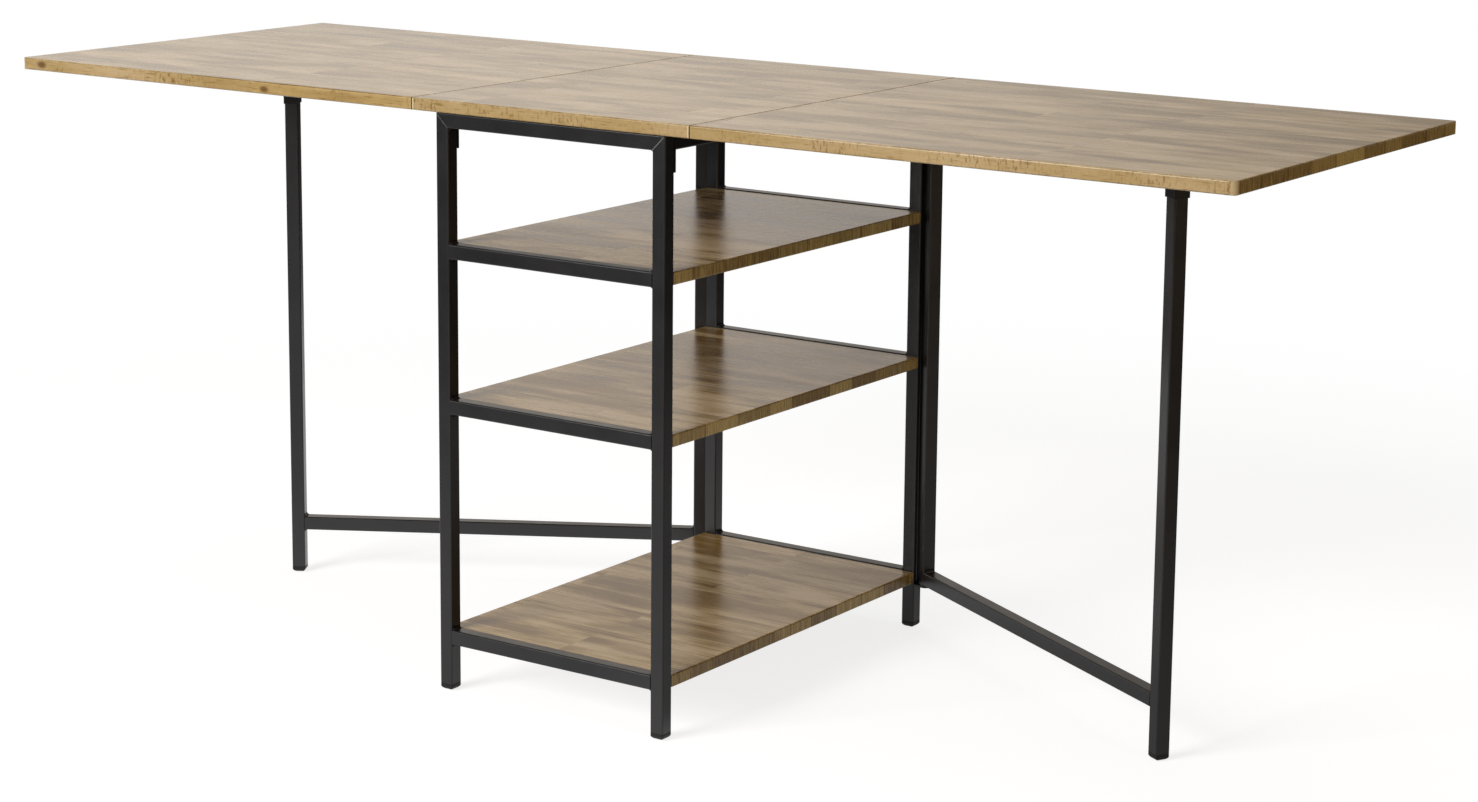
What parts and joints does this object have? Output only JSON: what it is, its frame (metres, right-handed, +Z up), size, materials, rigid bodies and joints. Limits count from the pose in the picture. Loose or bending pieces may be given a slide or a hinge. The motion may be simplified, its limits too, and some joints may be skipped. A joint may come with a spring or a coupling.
{
  "type": "drop-leaf dining table",
  "caption": "Drop-leaf dining table: a shelf frame of square tube under a fixed centre panel, a hinged leaf on each side, and a swing-out gate leg under each leaf.",
  "frame": {"origin": "on the floor under the middle of the open top", "axes": "+X along the open top from the left leaf to the right leaf, +Y from the front to the rear where the gates are pivoted, +Z up"},
  "size_m": [1.829, 0.61, 0.762],
  "materials": {
    "wood_board": "wood-look laminate, semi-gloss",
    "black_steel": "black powder coat, satin",
    "black_plastic": "moulded, satin",
    "zinc_steel": "zinc plated"
  },
  "bodies": {
    "frame": {"centre_panel": "wood_board", "upper_shelf": "wood_board", "middle_shelf": "wood_board", "lower_shelf": "wood_board", "front_left_post": "black_steel", "front_right_post": "black_steel", "rear_left_post": "black_steel", "rear_right_post": "black_steel", "front_top_rail": "black_steel", "front_upper_rail": "black_steel", "front_middle_rail": "black_steel", "front_lower_rail": "black_steel", "rear_top_rail": "black_steel", "rear_upper_rail": "black_steel", "rear_middle_rail": "black_steel", "rear_lower_rail": "black_steel", "left_side_rail": "black_steel", "right_side_rail": "black_steel", "side_rail_end_plates": "black_steel", "frame_bolts": "zinc_steel", "threaded_inserts": "zinc_steel", "shelf_lugs": "black_steel", "shelf_screws": "zinc_steel", "panel_screws": "zinc_steel", "frame_feet": "black_plastic", "left_pivot_tabs": "black_steel", "left_pivot_pins": "zinc_steel", "right_pivot_tabs": "black_steel", "right_pivot_pins": "zinc_steel", "left_hinge_fixed_plates": "zinc_steel", "left_hinge_pins": "zinc_steel", "left_hinge_panel_screws": "zinc_steel", "right_hinge_fixed_plates": "zinc_steel", "right_hinge_pins": "zinc_steel", "right_hinge_panel_screws": "zinc_steel"},
    "left_leaf": {"left_leaf": "wood_board", "left_hinge_moving_plates": "zinc_steel", "left_hinge_leaf_screws": "zinc_steel", "left_gate_stop": "black_plastic", "left_stop_screws": "zinc_steel"},
    "right_leaf": {"right_leaf": "wood_board", "right_hinge_moving_plates": "zinc_steel", "right_hinge_leaf_screws": "zinc_steel", "right_gate_stop": "black_plastic", "right_stop_screws": "zinc_steel"},
    "left_gate": {"left_gate_hinge_tube": "black_steel", "left_gate_top_rail": "black_steel", "left_gate_low_rail": "black_steel", "left_gate_leg": "black_steel", "left_gate_foot": "black_plastic", "left_gate_cap": "black_plastic", "left_gate_bushes": "black_plastic"},
    "right_gate": {"right_gate_hinge_tube": "black_steel", "right_gate_top_rail": "black_steel", "right_gate_low_rail": "black_steel", "right_gate_leg": "black_steel", "right_gate_foot": "black_plastic", "right_gate_cap": "black_plastic", "right_gate_bushes": "black_plastic"}
  },
  "joints": [
    {"name": "left_gate_swing", "type": "hinge", "parent": "frame", "child": "left_gate", "pos_m": [-0.189, 0.2925, 0.35], "axis": [0, 0, 1], "range_deg": [0, 60]},
    {"name": "right_gate_swing", "type": "hinge", "parent": "frame", "child": "right_gate", "pos_m": [0.189, 0.2925, 0.35], "axis": [0, 0, -1], "range_deg": [0, 60]},
    {"name": "left_leaf_lift", "type": "hinge", "parent": "frame", "child": "left_leaf", "pos_m": [-0.21275, 0, 0.7427], "axis": [0, 1, 0], "range_deg": [0, 4]},
    {"name": "right_leaf_lift", "type": "hinge", "parent": "frame", "child": "right_leaf", "pos_m": [0.21275, 0, 0.7427], "axis": [0, -1, 0], "range_deg": [0, 4]}
  ]
}
